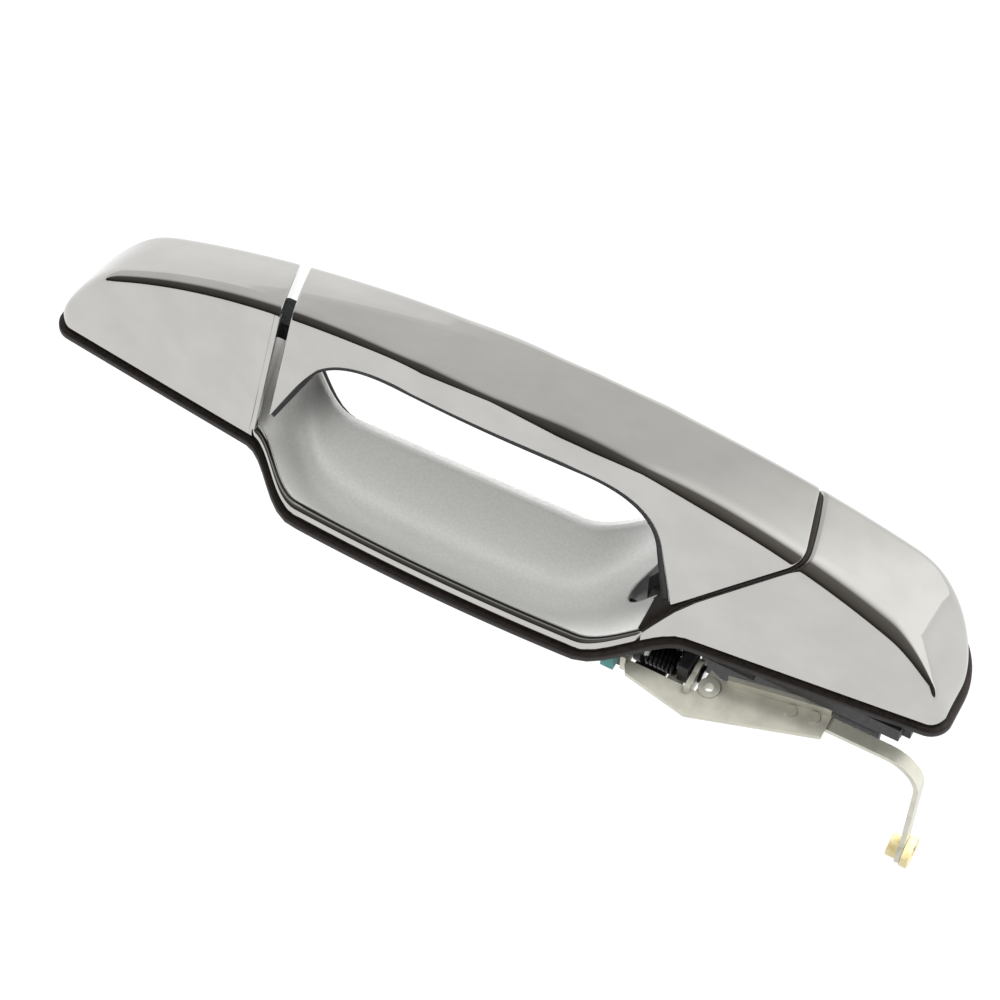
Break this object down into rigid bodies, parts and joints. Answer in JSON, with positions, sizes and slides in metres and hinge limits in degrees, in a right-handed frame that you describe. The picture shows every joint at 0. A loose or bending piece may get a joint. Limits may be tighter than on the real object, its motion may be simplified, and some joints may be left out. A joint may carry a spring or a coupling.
{
  "type": "exterior car door handle",
  "caption": "Chromed strap-type exterior door handle: hinged grip bar over a finger scoop, with gasket, chassis, release lever and rod clip.",
  "frame": {"origin": "midway between the two mounting studs, on the outer face of the door skin (the gasket's back face)", "axes": "+Z outwards from the door, +X towards the end that is pulled, -Y towards the hand entry (down on the vehicle)"},
  "size_m": [0.2654, 0.0627, 0.1194],
  "materials": {
    "chrome_plate": "mirror chrome plate",
    "seal_rubber": "moulded rubber",
    "black_nylon": "moulded, fine texture",
    "cast_zinc": "as cast",
    "bright_steel": "turned",
    "spring_steel": "black oiled",
    "zinc_screw": "zinc plated",
    "yellow_zinc": "yellow passivated zinc",
    "teal_rubber": "moulded rubber",
    "acetal": "moulded",
    "zinc_sheet": "galvanised sheet",
    "cream_nylon": "moulded, slightly translucent"
  },
  "bodies": {
    "base": {"bezel": "chrome_plate", "gasket": "seal_rubber", "chassis": "black_nylon", "hinge_bracket": "cast_zinc", "hinge_pin": "bright_steel", "hinge_pin_clips": "spring_steel", "bezel_screws": "zinc_screw", "bracket_screws": "zinc_screw", "mounting_studs": "yellow_zinc", "lever_pin": "bright_steel", "lever_pin_clips": "spring_steel", "return_spring": "spring_steel", "stop_bumper": "teal_rubber"},
    "handle": {"handle_shell": "chrome_plate", "handle_back": "chrome_plate", "hinge_arm": "cast_zinc", "pivot_bush": "acetal", "pull_leg": "cast_zinc", "handle_screws": "zinc_screw", "rest_bumpers": "seal_rubber"},
    "lever": {"lever_plate": "zinc_sheet", "lever_arm": "zinc_sheet", "lever_rivets": "bright_steel", "lever_eyelet": "bright_steel"},
    "clip": {"rod_clip": "cream_nylon"}
  },
  "joints": [
    {"name": "handle_pull", "type": "hinge", "parent": "base", "child": "handle", "pos_m": [-0.076, -0.005, 0.033], "axis": [0, -1, 0], "range_deg": [0, 6], "stiffness_Nm_per_rad": 6, "springref_deg": -8.59},
    {"name": "lever_turn", "type": "hinge", "parent": "base", "child": "lever", "pos_m": [0.058, -0.023, -0.012], "axis": [1, 0, 0], "range_deg": [0, 32], "stiffness_Nm_per_rad": 0.2, "springref_deg": -22.92},
    {"name": "clip_swivel", "type": "hinge", "parent": "lever", "child": "clip", "pos_m": [0.1305, -0.0194, -0.057], "axis": [1, 0, 0], "range_deg": [-45, 45]}
  ],
  "couplings": [
    {"joint": "lever_turn", "follows": "handle_pull", "ratio": 5.3}
  ]
}
